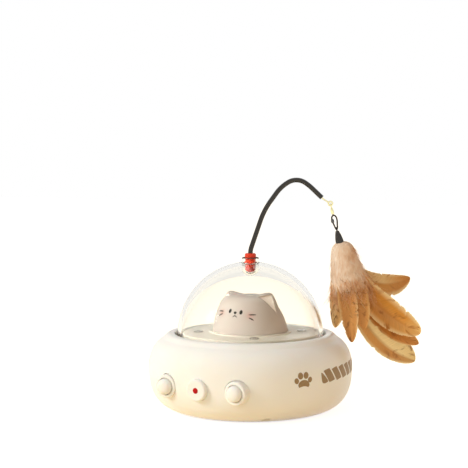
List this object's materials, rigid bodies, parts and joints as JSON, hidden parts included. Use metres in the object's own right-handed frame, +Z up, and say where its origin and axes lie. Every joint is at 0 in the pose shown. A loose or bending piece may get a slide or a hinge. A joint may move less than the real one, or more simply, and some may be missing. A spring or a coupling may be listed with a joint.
{
  "type": "automatic cat laser toy",
  "caption": "Bun-shaped cat toy with a clear turning dome over a cat head, a bent feather wand in the dome's socket and a sweeping laser behind a front disc between two buttons.",
  "frame": {"origin": "on the rest plane under the rubber feet, at the axis of the round housing and its turning dome", "axes": "+Z up along the dome's turning axis; -Y towards the front, where the laser disc is and the cat head looks; +X to the right side of the housing seen from above with the front at the bottom"},
  "size_m": [0.1351, 0.1122, 0.1243],
  "materials": {
    "shell_plastic": "moulded cream, satin gloss",
    "cover_plastic": "fine moulded texture",
    "deck_plastic": "moulded cream",
    "head_plastic": "moulded cream with a printed face",
    "inner_plastic": "natural moulded",
    "gear_plastic": "natural acetal",
    "dome_clear": "clear polished plastic dome",
    "window_red": "red translucent window",
    "foot_rubber": "matt",
    "plug_rubber": "matt orange-red",
    "wand_coat": "smooth dark sleeve on sprung wire",
    "hardware_steel": "plated",
    "ballast_steel": "plain",
    "motor_steel": "plated can",
    "brass_parts": "turned",
    "sleeve_black": "moulded ribbed end cap",
    "board_green": "soldermask",
    "switch_black": "moulded",
    "cell_wrap": "shrink wrap",
    "feather_vane": "brown and golden barbs",
    "down_fluff": "soft down"
  },
  "bodies": {
    "base": {"upper_housing": "shell_plastic", "bottom_cover": "cover_plastic", "rubber_feet": "foot_rubber", "ballast_weights": "ballast_steel", "cover_screws": "hardware_steel", "chassis": "inner_plastic", "chassis_screws": "hardware_steel", "deck_plate": "deck_plastic", "deck_screws": "hardware_steel", "head_screws": "hardware_steel", "cat_head": "head_plastic", "laser_bezel": "shell_plastic", "laser_window": "window_red", "sweep_motor": "motor_steel", "drive_gearbox": "brass_parts", "drive_motor": "motor_steel", "gearbox_screws": "hardware_steel", "main_board": "board_green", "board_screws": "hardware_steel", "switch_boards": "board_green", "tact_switches": "switch_black", "usb_board": "board_green", "usb_socket": "motor_steel", "battery_cell": "cell_wrap", "battery_contacts": "brass_parts"},
    "turntable": {"dome": "dome_clear", "ring_gear": "gear_plastic"},
    "drive_pinion": {"drive_pinion": "gear_plastic", "drive_shaft": "hardware_steel"},
    "laser_cradle": {"laser_cradle": "gear_plastic", "laser_barrel": "brass_parts", "cradle_pin": "hardware_steel", "pin_clip": "hardware_steel"},
    "sweep_pinion": {"sweep_pinion": "gear_plastic"},
    "left_button": {"left_button": "shell_plastic", "left_plunger": "switch_black"},
    "right_button": {"right_button": "shell_plastic", "right_plunger": "switch_black"},
    "wand": {"wand_plug": "plug_rubber", "wand_tube": "wand_coat", "tip_wire": "hardware_steel"},
    "swivel": {"swivel_barrel": "brass_parts"},
    "snap": {"snap_clip": "hardware_steel"},
    "lure": {"crimp_sleeve": "sleeve_black", "lure_ring": "hardware_steel", "feather_upper": "feather_vane", "feather_golden": "feather_vane", "feather_large": "feather_vane", "feather_middle": "feather_vane", "feather_inner": "feather_vane", "feather_left": "feather_vane", "feather_front": "feather_vane", "down_front": "down_fluff", "down_back": "down_fluff"}
  },
  "joints": [
    {"name": "dome_spin", "type": "hinge", "parent": "base", "child": "turntable", "pos_m": [0, 0, 0.034], "axis": [0, 0, 1], "continuous": true},
    {"name": "drive_pinion_spin", "type": "hinge", "parent": "base", "child": "drive_pinion", "pos_m": [0, 0.02625, 0.033], "axis": [0, 0, 1], "continuous": true},
    {"name": "laser_sweep", "type": "hinge", "parent": "base", "child": "laser_cradle", "pos_m": [0, -0.0465, 0.018], "axis": [0, 0, 1], "range_deg": [-5, 5]},
    {"name": "sweep_pinion_spin", "type": "hinge", "parent": "base", "child": "sweep_pinion", "pos_m": [0, -0.0293, 0.023], "axis": [0, 0, 1], "range_deg": [-22, 22]},
    {"name": "left_button_press", "type": "slide", "parent": "base", "child": "left_button", "axis": [0.373, 0.9278, 0], "range_m": [0, 0.0008], "stiffness_N_per_m": 300},
    {"name": "right_button_press", "type": "slide", "parent": "base", "child": "right_button", "axis": [-0.373, 0.9278, 0], "range_m": [0, 0.0008], "stiffness_N_per_m": 300},
    {"name": "wand_lift", "type": "slide", "parent": "turntable", "child": "wand", "axis": [0, 0, 1], "range_m": [0, 0.0125]},
    {"name": "swivel_sway", "type": "hinge", "parent": "wand", "child": "swivel", "pos_m": [0.03762, 0.02085, 0.11044], "axis": [0.4848, -0.8746, 0], "range_deg": [0, 35]},
    {"name": "snap_spin", "type": "hinge", "parent": "swivel", "child": "snap", "pos_m": [0.03899, 0.02161, 0.10405], "axis": [-0.2086, -0.1156, 0.9711], "range_deg": [-20, 20]},
    {"name": "lure_swing", "type": "hinge", "parent": "snap", "child": "lure", "pos_m": [0.04062, 0.02251, 0.09647], "axis": [0.8494, 0.4708, 0.2385], "range_deg": [-12, 12]}
  ],
  "couplings": [
    {"joint": "drive_pinion_spin", "follows": "dome_spin", "ratio": 4.5},
    {"joint": "sweep_pinion_spin", "follows": "laser_sweep", "ratio": -4.375}
  ]
}
